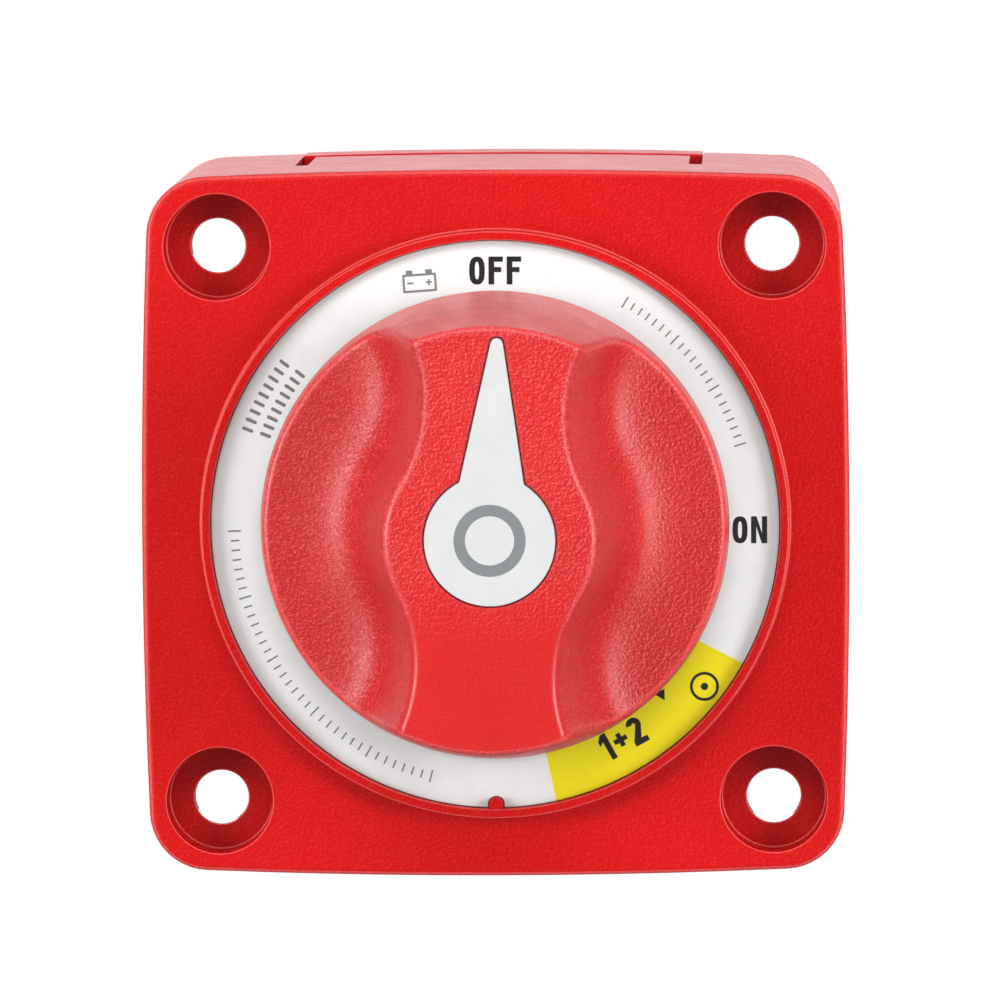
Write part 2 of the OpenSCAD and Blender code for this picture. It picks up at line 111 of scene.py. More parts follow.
class Tree:
    """Short hand for building a material's nodes."""

    def __init__(self, name):
        self.mat = bpy.data.materials.new(name)
        self.mat.use_nodes = True
        self.t = self.mat.node_tree
        self.t.nodes.clear()
        self.out = self.t.nodes.new("ShaderNodeOutputMaterial")

    def add(self, kind, inputs=None, **props):
        n = self.t.nodes.new(kind)
        for k, v in props.items():
            setattr(n, k, v)
        for k, v in (inputs or {}).items():
            s = n.inputs[k]
            if isinstance(v, bpy.types.NodeSocket):
                self.t.links.new(v, s)
            else:
                s.default_value = v
        return n

    def coord(self):
        return self.add("ShaderNodeTexCoord").outputs["Object"]

    def noise(self, co, scale, detail=3.0, rough=0.55, distortion=0.0):
        return self.add("ShaderNodeTexNoise", {"Vector": co, "Scale": scale, "Detail": detail,
                                               "Roughness": rough, "Distortion": distortion}).outputs["Fac"]

    def voronoi(self, co, scale, smooth=0.6):
        return self.add("ShaderNodeTexVoronoi", {"Vector": co, "Scale": scale, "Smoothness": smooth},
                        feature="SMOOTH_F1").outputs["Distance"]

    def math(self, op, a, b=0.0, c=None):
        n = self.add("ShaderNodeMath", operation=op)
        for i, v in enumerate((a, b) if c is None else (a, b, c)):
            if isinstance(v, bpy.types.NodeSocket):
                self.t.links.new(v, n.inputs[i])
            else:
                n.inputs[i].default_value = v
        return n.outputs[0]

    def remap(self, v, a, b, c, d):
        return self.add("ShaderNodeMapRange", {"Value": v, "From Min": a, "From Max": b,
                                               "To Min": c, "To Max": d}).outputs["Result"]

    def mix(self, fac, a, b):
        n = self.add("ShaderNodeMix", data_type="RGBA")
        for s, v in ((n.inputs["Factor"], fac), (n.inputs["A"], a), (n.inputs["B"], b)):
            # the colour sockets share their names with the number sockets
            pass
        sockets = {"f": n.inputs[0], "a": n.inputs[6], "b": n.inputs[7]}
        for k, v in (("f", fac), ("a", a), ("b", b)):
            if isinstance(v, bpy.types.NodeSocket):
                self.t.links.new(v, sockets[k])
            else:
                sockets[k].default_value = v
        return n.outputs[2]

    def edges(self, radius):
        """0 on open faces, up towards 1 along rounded edges."""
        bev = self.add("ShaderNodeBevel", {"Radius": radius}, samples=3).outputs["Normal"]
        nor = self.add("ShaderNodeNewGeometry").outputs["Normal"]
        dot = self.add("ShaderNodeVectorMath", {0: bev, 1: nor}, operation="DOT_PRODUCT").outputs["Value"]
        return self.remap(dot, 0.995, 0.80, 0.0, 1.0)

    def bump(self, height, distance, strength=1.0, normal=None):
        ins = {"Height": height, "Distance": distance, "Strength": strength}
        if normal is not None:
            ins["Normal"] = normal
        return self.add("ShaderNodeBump", ins).outputs["Normal"]

    def surface(self, colour, rough, normal=None, metallic=0.0, spec=0.5, **more):
        ins = {"Base Color": colour, "Roughness": rough, "Metallic": metallic, "Specular IOR Level": spec}
        if normal is not None:
            ins["Normal"] = normal
        ins.update(more)
        p = self.add("ShaderNodeBsdfPrincipled", ins)
        self.t.links.new(p.outputs[0], self.out.inputs["Surface"])
        return self.mat


def scaled(c, k):
    return (min(c[0] * k, 1), min(c[1] * k, 1), min(c[2] * k, 1), 1.0)


def plastic(name, rgb, rough=0.40, grain=3000.0, depth=0.03, relief_paint=0.10, edge_sheen=0.25, edge_sheen_r=0.25, spec=0.5,
            cloud=0.06, light=None, bounce=0.0, fade=None, recess=False,
            lit_end=False):
    """Moulded plastic with a spark-eroded grain: pebbles about 1/grain apart with painted light and shade on their
    flanks, painted glints, a little cloudiness, and a painted highlight along rounded edges.
    fade: (height, lowest z, highest z) - above this height the grain, its painted light and shade and its painted
    glints die away downwards, where the grip's top catches less light."""
    t = Tree(name)
    co = t.coord()
    base = srgb(*rgb)
    pebble = t.noise(co, grain, 3.0, 0.6)
    fine = t.noise(co, grain * 2.7, 2.0, 0.5)
    pits = t.voronoi(co, grain * 0.75, 0.35)
    height = t.math("ADD", t.math("MULTIPLY", pebble, 0.75),
                    t.math("ADD", t.math("MULTIPLY", fine, 0.25), t.math("MULTIPLY", pits, 0.35)))
    here = 1.0
    if fade:
        xyz = t.add("ShaderNodeSeparateXYZ", {0: co})
        top_part = t.remap(t.math("MULTIPLY", xyz.outputs["Y"], -1.0), (fade[0] - 1.2) * MM, (fade[0] - 0.4) * MM, 0.0, 1.0)
        low_part = t.remap(xyz.outputs["Z"], fade[1] * MM, fade[2] * MM, 0.85, 0.0)
        here = t.math("SUBTRACT", 1.0, t.math("MULTIPLY", top_part, low_part))
        height = t.math("MULTIPLY", height, here)
    broad = t.noise(co, 45.0, 3.0, 0.5)
    colour = t.mix(t.remap(broad, 0.3, 0.7, 0.0, 1.0), scaled(base, 1 - cloud), scaled(base, 1 + cloud))
    lighter = light or (min(base[0] * 1.05 + 0.02, 1), base[1] * 1.6 + 0.012, base[2] * 1.6 + 0.012, 1.0)
    # painted light and shade: the pebbles' flanks towards the light are painted lighter, their lee sides darker
    aside = t.add("ShaderNodeVectorMath", {0: co, 1: (0.07 * MM, 0.03 * MM, -0.07 * MM)}, operation="ADD").outputs["Vector"]
    emboss_light = t.math("SUBTRACT", pebble, t.noise(aside, grain, 3.0, 0.6))
    colour = t.mix(t.math("MULTIPLY", t.math("MULTIPLY", t.remap(emboss_light, 0.015, 0.13, 0.0, 1.0), relief_paint), here), colour, lighter)
    colour = t.mix(t.math("MULTIPLY", t.math("MULTIPLY", t.remap(emboss_light, -0.015, -0.13, 0.0, 1.0), relief_paint), here), colour, scaled(base, 0.72))
    # painted glints: sparse bright pink specks on the grain
    glint = t.remap(t.noise(co, 5200.0, 1.0, 0.5), 0.71, 0.78, 0.0, 0.55)
    colour = t.mix(t.math("MULTIPLY", glint, here), colour, (min(lighter[0] * 1.04, 1), lighter[1] * 2.0, lighter[2] * 2.0, 1.0))
    if lit_end:
        # painted light: the faces at the grip's upper end that face up are painted a pale, mottled pink, as light from
        # above falls on them
        xyz = t.add("ShaderNodeSeparateXYZ", {0: co})
        z_nor = t.add("ShaderNodeSeparateXYZ", {0: t.add("ShaderNodeNewGeometry").outputs["Normal"]}).outputs["Z"]
        end_light = t.math("MULTIPLY", t.remap(xyz.outputs["Z"], 17.0 * MM, 20.0 * MM, 0.0, 1.0), t.remap(t.math("ABSOLUTE", z_nor), 0.62, 0.9, 0.0, 1.0))
        mottle = t.remap(t.noise(co, 520.0, 5.0, 0.65), 0.34, 0.66, 0.35, 1.0)
        colour = t.mix(t.math("MULTIPLY", t.math("MULTIPLY", end_light, mottle), 0.75), colour, srgb(250, 120, 116))
    # painted highlight: rounded edges are painted lighter, in patches broken up by noise
    edge = t.edges(edge_sheen_r * MM)
    sheen_patches = t.math("MULTIPLY", edge, t.remap(t.noise(co, 900.0, 4.0, 0.6), 0.35, 0.65, 0.3, 1.0))
    colour = t.mix(t.math("MULTIPLY", sheen_patches, edge_sheen), colour, lighter)
    r = t.remap(t.noise(co, 240.0, 3.0, 0.6), 0.3, 0.7, rough - 0.04, rough + 0.04)
    r = t.math("ADD", r, t.math("MULTIPLY", t.math("SUBTRACT", fine, 0.5), 0.10))
    if recess:
        # painted shade: the floors of the screw-head recesses are painted darker
        xyz = t.add("ShaderNodeSeparateXYZ", {0: co})
        off = lambda s: t.math("SUBTRACT", t.math("ABSOLUTE", s), PITCH / 2 * MM)
        dx, dz = off(xyz.outputs["X"]), off(xyz.outputs["Z"])
        rad = t.math("SQRT", t.math("ADD", t.math("MULTIPLY", dx, dx), t.math("MULTIPLY", dz, dz)))
        within = t.remap(rad, 5.35 * MM, 5.15 * MM, 0.0, 1.0)
        level = t.math("MULTIPLY", xyz.outputs["Y"], -1.0)
        deep = t.remap(level, (Z_FACE - 0.5) * MM, (Z_FACE - 1.3) * MM, 0.0, 1.0)
        colour = t.mix(t.math("MULTIPLY", t.math("MULTIPLY", within, deep), 0.15), colour, scaled(base, 0.55))
        # the screw holes and the cells behind them are polished core pins' faces
        far = t.math("MAXIMUM", t.math("ABSOLUTE", xyz.outputs["X"]), t.math("ABSOLUTE", xyz.outputs["Z"]))
        total = t.math("ADD", t.math("ABSOLUTE", xyz.outputs["X"]), t.math("ABSOLUTE", xyz.outputs["Z"]))
        near = t.math("MULTIPLY", t.remap(rad, 7.4 * MM, 7.2 * MM, 0.0, 1.0), t.remap(total, 63.4 * MM, 63.0 * MM, 0.0, 1.0))
        core = t.math("MULTIPLY", t.math("MULTIPLY", near, t.remap(far, 33.4 * MM, 33.1 * MM, 0.0, 1.0)),
                      t.remap(level, (Z_FACE - 4.26) * MM, (Z_FACE - 4.36) * MM, 0.0, 1.0))
        r = t.math("MULTIPLY", r, t.math("SUBTRACT", 1.0, t.math("MULTIPLY", core, 0.80)))
        height = t.math("MULTIPLY", height, t.math("SUBTRACT", 1.0, t.math("MULTIPLY", core, 0.97)))
    if bounce:
        # light passed on to neighbours keeps less of the colour
        path = t.add("ShaderNodeLightPath").outputs["Is Diffuse Ray"]
        grey = sum(base[:3]) / 3
        colour = t.mix(t.math("MULTIPLY", path, bounce), colour, (grey, grey, grey, 1.0))
    return t.surface(colour, r, t.bump(height, depth * MM), spec=spec)


def printed(name, rgb, rough=0.38, tone=0.03, bounce=0.0):
    """Ink or film on a label: faint mottling, dust, and a very shallow orange peel."""
    t = Tree(name)
    co = t.coord()
    base = srgb(*rgb)
    c = t.mix(t.remap(t.noise(co, 320.0, 4.0, 0.6), 0.3, 0.7, 0.0, 1.0), scaled(base, 1 - tone), scaled(base, 1 + tone))
    fine = t.noise(co, 5200.0, 2.0, 0.5)
    c = t.mix(t.math("MULTIPLY", t.remap(fine, 0.66, 0.78, 0.0, 1.0), 0.12), c, scaled(base, 0.86))
    r = t.remap(t.noise(co, 800.0, 2.0, 0.5), 0.3, 0.7, rough - 0.05, rough + 0.05)
    h = t.math("ADD", t.noise(co, 1500.0, 2.0, 0.5), t.math("MULTIPLY", fine, 0.3))
    if bounce:
        path = t.math("SUBTRACT", 1.0, t.add("ShaderNodeLightPath").outputs["Is Camera Ray"])
        c = t.mix(t.math("MULTIPLY", path, bounce), c, (0.42, 0.42, 0.42, 1.0))
    return t.surface(c, r, t.bump(h, 0.004 * MM), spec=0.5)


def metal(name, rgb, rough=0.28, brushed=(1.0, 1.0, 1.0), tarnish=(0.55, 0.5, 0.42), amount=0.25, depth=0.006):
    """Machined or plated metal: turned or brushed streaks, tarnish in patches, bright worn edges."""
    t = Tree(name)
    co = t.coord()
    base = srgb(*rgb)
    stretched = t.add("ShaderNodeMapping", {"Vector": co, "Scale": brushed}).outputs["Vector"]
    streak = t.noise(stretched, 2600.0, 4.0, 0.6)
    patch = t.noise(co, 160.0, 5.0, 0.62, 0.4)
    dull = t.math("MULTIPLY", t.remap(patch, 0.48, 0.70, 0.0, 1.0), amount)
    colour = t.mix(dull, base, (base[0] * tarnish[0], base[1] * tarnish[1], base[2] * tarnish[2], 1.0))
    colour = t.mix(t.math("MULTIPLY", t.edges(0.15 * MM), 0.4), colour, scaled(base, 1.25))
    r = t.math("ADD", t.remap(streak, 0.3, 0.7, rough - 0.08, rough + 0.08), t.math("MULTIPLY", dull, 0.5))
    return t.surface(colour, r, t.bump(streak, depth * MM), metallic=1.0)


def rubber(name, rgb):
    t = Tree(name)
    co = t.coord()
    base = srgb(*rgb)
    n = t.noise(co, 1800.0, 4.0, 0.6)
    bloom = t.remap(t.noise(co, 300.0, 4.0, 0.6), 0.45, 0.75, 0.0, 0.35)
    c = t.mix(bloom, base, scaled(base, 2.2))
    return t.surface(c, t.remap(n, 0.3, 0.7, 0.62, 0.8), t.bump(n, 0.02 * MM), spec=0.35)


RED = (214, 6, 9)
CASE = plastic("case_red", RED, rough=0.42, grain=3000.0, depth=0.060, relief_paint=0.32, edge_sheen=0.30, edge_sheen_r=0.30, bounce=0.75, recess=True,
               spec=0.25, light=srgb(243, 60, 58))
# painted highlight: lighter copies of the red plastics for the crests of rounded edges
CASE_EDGE_HIGHLIGHT = plastic("case_red_edge_highlight", (240, 74, 74), rough=0.38, grain=3000.0, depth=0.030, relief_paint=0.30, edge_sheen=0.2, bounce=0.75,
                    spec=0.35, light=srgb(248, 130, 128))
KNOB_EDGE_HIGHLIGHT = plastic("knob_red_edge_highlight", (236, 58, 60), rough=0.36, grain=3300.0, depth=0.050, relief_paint=0.60, edge_sheen=0.2, bounce=0.75,
                    spec=0.6, light=srgb(248, 126, 126))
COVER = plastic("cover_red", (226, 14, 18), rough=0.46, grain=3000.0, depth=0.060, relief_paint=0.25, edge_sheen=0.30, bounce=0.75, spec=0.30)
KNOB = plastic("knob_red", (217, 7, 10), rough=0.36, grain=3300.0, depth=0.095, relief_paint=0.80, edge_sheen=0.30, edge_sheen_r=0.30, bounce=0.75,
               fade=(span("knob")[1].z, -10.0, -3.0), light=srgb(246, 98, 98), spec=0.70, lit_end=True)
WHITE = printed("label_white", (247, 248, 247))
YELLOW = printed("label_yellow", (255, 236, 16), bounce=0.8)
BLACK = printed("label_black", (28, 25, 27), rough=0.45)
GREY = printed("label_grey", (128, 128, 128), rough=0.45)
INLAY = printed("inlay_white", (219, 220, 220), rough=0.34)
MARK = printed("inlay_grey", (134, 138, 140), rough=0.40)
NYLON = plastic("black_nylon", (30, 30, 33), rough=0.46, grain=2200.0, depth=0.03, relief_paint=0.3, edge_sheen=0.5,
                light=srgb(74, 74, 78))
ACETAL = plastic("natural_acetal", (228, 222, 205), rough=0.36, grain=3400.0, depth=0.015, relief_paint=0.1, edge_sheen=0.2,
                 light=srgb(242, 238, 226))
RUBBER = rubber("seal_rubber", (26, 26, 26))
STEEL = metal("steel", (196, 198, 202), rough=0.28, brushed=(1, 6, 1), amount=0.18)
SPRING = metal("spring_steel", (176, 178, 182), rough=0.24, brushed=(1, 1, 1), amount=0.25)
COPPER = metal("copper", (214, 132, 92), rough=0.30, brushed=(1, 1, 6), tarnish=(0.45, 0.36, 0.34), amount=0.45)
TINNED = metal("tinned_copper", (206, 202, 194), rough=0.36, brushed=(6, 1, 1), tarnish=(0.8, 0.62, 0.5), amount=0.3)
BRASS = metal("tinned_brass", (210, 205, 186), rough=0.30, brushed=(1, 8, 1), tarnish=(0.78, 0.66, 0.42), amount=0.35)


# ------------------------------------------------------------------ mesh helpers

def to_object(name, bm_or_mesh, mats, body, slot, nodes=(), turn=False, local=True, sharp=None, weighted=False):
    """Makes an object of a mesh drawn in the local frame, hangs it on its body and hides the CAD nodes it stands for.
    """
    if isinstance(bm_or_mesh, bmesh.types.BMesh):
        me = bpy.data.meshes.new(name)
        bm_or_mesh.to_mesh(me)
        bm_or_mesh.free()
    else:
        me = bm_or_mesh
        me.name = name
    if local:
        me.transform(STAND @ TURN if turn else STAND)
    kept = np.zeros(len(me.polygons), np.int32)
    me.polygons.foreach_get("material_index", kept)
    me.materials.clear()
    mats = mats if isinstance(mats, (list, tuple)) else [mats]
    for m in mats:
        me.materials.append(m)
    me.polygons.foreach_set("material_index", np.clip(kept, 0, len(mats) - 1))
    me.shade_smooth()
    if sharp is not None:
        me.set_sharp_from_angle(angle=math.radians(sharp))
    ob = bpy.data.objects.new(name, me)
    bpy.context.scene.collection.objects.link(ob)
    if weighted:
        w = ob.modifiers.new("weighted", "WEIGHTED_NORMAL")
        w.mode, w.weight, w.keep_sharp = "FACE_AREA", 60, True
    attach(ob, body)
    if nodes:
        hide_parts(*nodes)
    return ob


def loop_points(pts, z):
    return [(p[0], p[1], z) for p in pts]


def circle(r, n=96, c=(0.0, 0.0), start=0.0):
    return [(c[0] + r * math.cos(start + 2 * math.pi * i / n), c[1] + r * math.sin(start + 2 * math.pi * i / n)) for i in range(n)]


def inside(poly, pts):
    """Which of the points lie inside a polygon."""
    x, y = pts[:, 0], pts[:, 1]
    hit = np.zeros(len(pts), bool)
    p = np.array(poly, float)
    q = np.roll(p, -1, 0)
    for (x0, y0), (x1, y1) in zip(p, q):
        if y0 == y1:
            continue
        c = (y0 > y) != (y1 > y)
        hit ^= c & (x < (x1 - x0) * (y - y0) / (y1 - y0) + x0)
    return hit


def plate(bm, outer, holes, zones, z_top, z_bottom, outer_in=None, holes_in=None, drop=0.06):
    """A flat piece whose printed areas are faces of its top. outer and holes bound it; outer_in and holes_in are the
    same loops drawn in a little, so its top edge is rounded off."""
    outer_in, holes_in = outer_in or outer, holes_in or holes
    verts, edges = [], []

    def feed(loop):
        k = len(verts)
        verts.extend(Vector(p) for p in loop)
        edges.extend((k + i, k + (i + 1) % len(loop)) for i in range(len(loop)))

    for loop in [outer_in] + list(holes_in) + [z[0] for z in zones] + [c for z in zones for c in z[2]]:
        feed(loop)
    co, _, tris = delaunay_2d_cdt(verts, edges, [], 0, 1e-5)[:3]
    tri = np.array([t for t in tris if len(t) == 3], int)
    pts = np.array([[v.x, v.y] for v in co])
    mid = pts[tri].mean(1)
    keep = inside(outer_in, mid)
    for h in holes_in:
        keep &= ~inside(h, mid)
    index = np.zeros(len(tri), int)
    for poly, m, cut in zones:
        here = inside(poly, mid)
        for c in cut:
            here &= ~inside(c, mid)
        index[here] = m
    made = {}

    def vert(i):
        if i not in made:
            made[i] = bm.verts.new((pts[i, 0], pts[i, 1], z_top))
        return made[i]

    for t, k, m in zip(tri, keep, index):
        if k:
            a, b, c = (pts[i] for i in t)
            order = t if np.cross(b - a, c - a) > 0 else t[::-1]
            f = bm.faces.new([vert(i) for i in order])
            f.material_index = int(m)
    # the sides: boundary of the top, a rounded shoulder, then down
    bm.edges.ensure_lookup_table()
    rim = [e for e in bm.edges if len(e.link_faces) == 1]
    rims = bmesh.ops.extrude_edge_only(bm, edges=rim)["geom"]
    low = [v for v in rims if isinstance(v, bmesh.types.BMVert)]
    full = np.array([p for loop in [outer] + list(holes) for p in loop])
    thin = np.array([p for loop in [outer_in] + list(holes_in) for p in loop])
    for v in low:
        d = (thin[:, 0] - v.co.x) ** 2 + (thin[:, 1] - v.co.y) ** 2
        i = int(d.argmin())
        off = full[i] - thin[i]
        v.co = Vector((v.co.x + off[0], v.co.y + off[1], z_top - drop))
    e2 = [e for e in rims if isinstance(e, bmesh.types.BMEdge)]
    down = bmesh.ops.extrude_edge_only(bm, edges=e2)["geom"]
    for v in down:
        if isinstance(v, bmesh.types.BMVert):
            v.co.z = z_bottom
    e3 = [e for e in down if isinstance(e, bmesh.types.BMEdge)]
    bmesh.ops.triangle_fill(bm, use_beauty=True, use_dissolve=False, edges=e3)
    bmesh.ops.recalc_face_normals(bm, faces=bm.faces)
    return bm


def refine(node, mat, slot, body, width=0.10, segments=2, groups=(), name=None, sharp=32, angle=28, highlight_mat=0,
           nudge=None):
    """A CAD node's own shape with its edges rounded in the mesh. groups: (test of a local point, width, segments)."""
    me = frame["nodes"][node].data
    bm = bmesh.new()
    bm.from_mesh(me)
    bm.transform(STAND.inverted())
    bmesh.ops.remove_doubles(bm, verts=bm.verts, dist=0.002)
    bmesh.ops.dissolve_degenerate(bm, edges=bm.edges, dist=0.0008)
    bmesh.ops.dissolve_limit(bm, angle_limit=math.radians(0.15), verts=bm.verts, edges=bm.edges, delimit=set())
    bmesh.ops.recalc_face_normals(bm, faces=bm.faces)
    if nudge:
        for v in bm.verts:
            v.co = nudge(v.co)

    def sharp_edges(test):
        out = []
        for e in bm.edges:
            if len(e.link_faces) == 2 and e.calc_face_angle(0) > math.radians(angle):
                c = (e.verts[0].co + e.verts[1].co) / 2
                if test(c):
                    out.append(e)
        return out

    for test, w, seg in groups:
        es = sharp_edges(test)
        if es:
            made = bmesh.ops.bevel(bm, geom=es, offset=w, offset_type="OFFSET", segments=seg, profile=0.5, affect="EDGES",
                                   clamp_overlap=True, miter_outer="SHARP", loop_slide=True, material=-1)
            # painted highlight: the crest of each rounding takes the lighter highlight material
            for f in made["faces"]:
                f.normal_update()
                if w < 0.2 or 0.50 < abs(f.normal.z) < 0.88:
                    f.material_index = highlight_mat
    if width:
        es = [e for e in sharp_edges(lambda c: not any(test(c) for test, _, _ in groups))]
        if es:
            bmesh.ops.bevel(bm, geom=es, offset=width, offset_type="OFFSET", segments=segments, profile=0.5,
                            affect="EDGES", clamp_overlap=True, loop_slide=True)
    return to_object(name or node + "_look", bm, mat, body, slot, (node,), sharp=sharp, weighted=True)


# ------------------------------------------------------------------ case and cover

def near_hole(c):
    return math.hypot(abs(c.x) - PITCH / 2, abs(c.y) - PITCH / 2)


case_groups = (
    (lambda c: abs(c.z - Z_FACE) < 0.02 and near_hole(c) > 6.2 and math.hypot(c.x, c.y) > BEZEL_R + 0.6, 0.70, 6),
    (lambda c: abs(c.z - CASE_HI.z) < 0.02 and math.hypot(c.x, c.y) > 26, 0.28, 4),
    (lambda c: abs(c.z - Z_FACE) < 0.02 and abs(math.hypot(c.x, c.y) - BEZEL_R) < 0.3, 0.30, 4),
    (lambda c: Z_FACE - 0.5 < c.z < Z_FACE + 0.02 and near_hole(c) < 6.2, 0.07, 2),
    (lambda c: Z_FACE - 7 < c.z < Z_FACE - 4 and near_hole(c) < 6.2, 0.14, 3),
)


def tight_rim(c):
    """Draws the countersink of the screw recesses in to a narrow lead-in."""
    r = near_hole(c)
    if abs(c.z - Z_FACE) < 0.02 and 5.3 < r < 5.8:
        hx, hy = math.copysign(PITCH / 2, c.x), math.copysign(PITCH / 2, c.y)
        k = 5.22 / r
        return Vector((hx + (c.x - hx) * k, hy + (c.y - hy) * k, c.z))
    return c


refine("housing", [CASE, CASE_EDGE_HIGHLIGHT], "case_red", "case", width=0.12, segments=2, groups=case_groups, name="case_shell", highlight_mat=1,
       nudge=tight_rim)
refine("back_cover", COVER, "cover_red", "cover", width=0.15, segments=3, name="cover_tray")


# ------------------------------------------------------------------ label

def arc(r, a0, a1, n):
    """Points at radius r; the angles go clockwise from the top, in degrees."""
    return [(r * math.sin(math.radians(a0 + (a1 - a0) * i / n)), r * math.cos(math.radians(a0 + (a1 - a0) * i / n)))
            for i in range(n + 1)]


def placed(poly, at, turn=0.0, size=1.0):
    c, s = math.cos(math.radians(turn)), math.sin(math.radians(turn))
    return [(at[0] + size * (x * c - y * s), at[1] + size * (x * s + y * c)) for x, y in poly]


def box2(x0, y0, x1, y1, r=0.08, n=3):
    """Rectangle with round corners."""
    pts = []
    for cx, cy, a in ((x1 - r, y0 + r, -90), (x1 - r, y1 - r, 0), (x0 + r, y1 - r, 90), (x0 + r, y0 + r, 180)):
        for i in range(n + 1):
            g = math.radians(a + 90 * i / n)
            pts.append((cx + r * math.cos(g), cy + r * math.sin(g)))
    return pts


def oval(w, h, n=40, p=2.6):
    """Letter O's outline: between an ellipse and a rounded box."""
    pts = []
    for i in range(n):
        g = 2 * math.pi * i / n
        c, s = math.cos(g), math.sin(g)
        pts.append((w / 2 * math.copysign(abs(c) ** (2 / p), c), h / 2 * math.copysign(abs(s) ** (2 / p), s)))
    return pts


def glyph(ch, h):
    """(polygons, holes, width) of a plain upright character of height h, centred on its own middle."""
    k = 0.205 * h
    w = 0.56 * h
    if ch == "O":
        return [oval(w, h)], [oval(w - 2 * k, h - 2 * k * 0.92)], w
    if ch == "F":
        w = 0.52 * h
        return [[(-w / 2, -h / 2), (-w / 2 + k, -h / 2), (-w / 2 + k, -0.06 * h), (w / 2 - 0.06 * h, -0.06 * h),
                 (w / 2 - 0.06 * h, -0.06 * h + k * 0.9), (-w / 2 + k, -0.06 * h + k * 0.9), (-w / 2 + k, h / 2 - k * 0.92),
                 (w / 2, h / 2 - k * 0.92), (w / 2, h / 2), (-w / 2, h / 2)]], [], w
    if ch == "N":
        w = 0.60 * h
        return [[(-w / 2, -h / 2), (-w / 2 + k * 0.95, -h / 2), (-w / 2 + k * 0.95, h * 0.12), (w / 2 - k, -h / 2),
                 (w / 2, -h / 2), (w / 2, h / 2), (w / 2 - k * 0.95, h / 2), (w / 2 - k * 0.95, -h * 0.12),
                 (-w / 2 + k, h / 2), (-w / 2, h / 2)]], [], w
    if ch == "1":
        w = 0.36 * h
        return [[(w / 2 - k, -h / 2), (w / 2, -h / 2), (w / 2, h / 2), (w / 2 - k * 0.9, h / 2), (-w / 2, h * 0.30),
                 (-w / 2, h * 0.10), (w / 2 - k, h * 0.22)]], [], w
    if ch == "+":
        w = 0.50 * h
        a = k * 0.42
        b = w / 2
        return [[(-a, -b), (a, -b), (a, -a), (b, -a), (b, a), (a, a), (a, b), (-a, b), (-a, a), (-b, a), (-b, -a), (-a, -a)]], [], w
    if ch == "2":
        w = 0.54 * h
        rad = w / 2
        cy = h / 2 - rad
        top = [(rad * math.cos(math.radians(g)), cy + rad * math.sin(math.radians(g))) for g in range(170, -46, -12)]
        inn = [((rad - k) * math.cos(math.radians(g)), cy + (rad - k) * math.sin(math.radians(g))) for g in range(-40, 171, 14)]
        return [top + [(-w / 2 + k * 1.5, -h / 2 + k), (w / 2, -h / 2 + k), (w / 2, -h / 2), (-w / 2, -h / 2), (-w / 2, -h / 2 + k * 0.8)] + inn], [], w
    raise ValueError(ch)


def word(text, h, at, turn, m, gap=0.13):
    zones, parts = [], [glyph(c, h) for c in text]
    total = sum(p[2] for p in parts) + gap * h * (len(parts) - 1)
    x = -total / 2
    for polys, cuts, w in parts:
        move = lambda q: placed([(px + x + w / 2, py) for px, py in q], at, turn)
        for p in polys:
            zones.append((move(p), m, [move(q) for q in cuts]))
        x += w + gap * h
    return zones


LABEL_R = LABEL_HI.x
NOTCH_Y, NOTCH_R = -27.3, 0.8


def label_edge(r, notch, n=300):
    """The label's outer edge with the notch for the case's key."""
    gap = math.degrees(2 * math.asin(min(notch / (2 * r), 1))) * 1.0
    pts = arc(r, 180 + gap, 540 - gap, n)
    start = math.atan2(pts[-1][1] - NOTCH_Y, pts[-1][0])
    stop = math.atan2(pts[0][1] - NOTCH_Y, pts[0][0])
    if stop < start:
        stop += 2 * math.pi
    pts += [(notch * math.cos(start + (stop - start) * i / 18), NOTCH_Y + notch * math.sin(start + (stop - start) * i / 18))
            for i in range(1, 18)]
    return pts


zones = []
# yellow field of the combine position
zones.append((arc(12, 122, 167.8, 30) + arc(30, 167.8, 119.4, 40), 1, []))
# plain scale marks in place of the small print
def tick(angle, r, length, width, m=3):
    return (placed(box2(-width / 2, -length / 2, width / 2, length / 2, width * 0.45), (r * math.sin(math.radians(angle)), r * math.cos(math.radians(angle))), -angle), m, [])


for i in range(22):
    zones.append(tick(30.5 + i * 1.98, 25.05, 1.25 if i % 7 == 0 else 0.85, 0.16))
for i in range(36):
    zones.append(tick(194.5 + i * 2.12, 25.35, 1.25 if i % 7 == 0 else 0.85, 0.16))
for row, r in ((0, 25.75), (1, 23.95)):
    for i in range(9 - 0 * row):
        zones.append(tick(291.2 + i * 2.05 + row * 0.3, r, 1.15, 0.34))
zones += word("OFF", 2.72, (0.12, 24.70), 0.0, 2)
zones += word("ON", 2.62, (24.75, -0.60), 0.0, 2)
zones += word("1+2", 2.75, (26.1 * math.sin(math.radians(149.5)) * 0.93, 26.1 * math.cos(math.radians(149.5)) * 0.93), 29.0, 2)
# plain ring and dot, and the mark at the knob's third position
at = (25.75 * math.sin(math.radians(128.0)), 25.75 * math.cos(math.radians(128.0)))
zones.append((circle(1.42, 40, at), 2, [circle(1.14, 36, at)]))
zones.append((circle(0.36, 20, at), 2, []))
zones.append((placed([(-0.55, 0.45), (0.0, -0.55), (0.55, 0.45)], (23.25 * math.sin(math.radians(136)), 23.25 * math.cos(math.radians(136))), 30), 2, []))
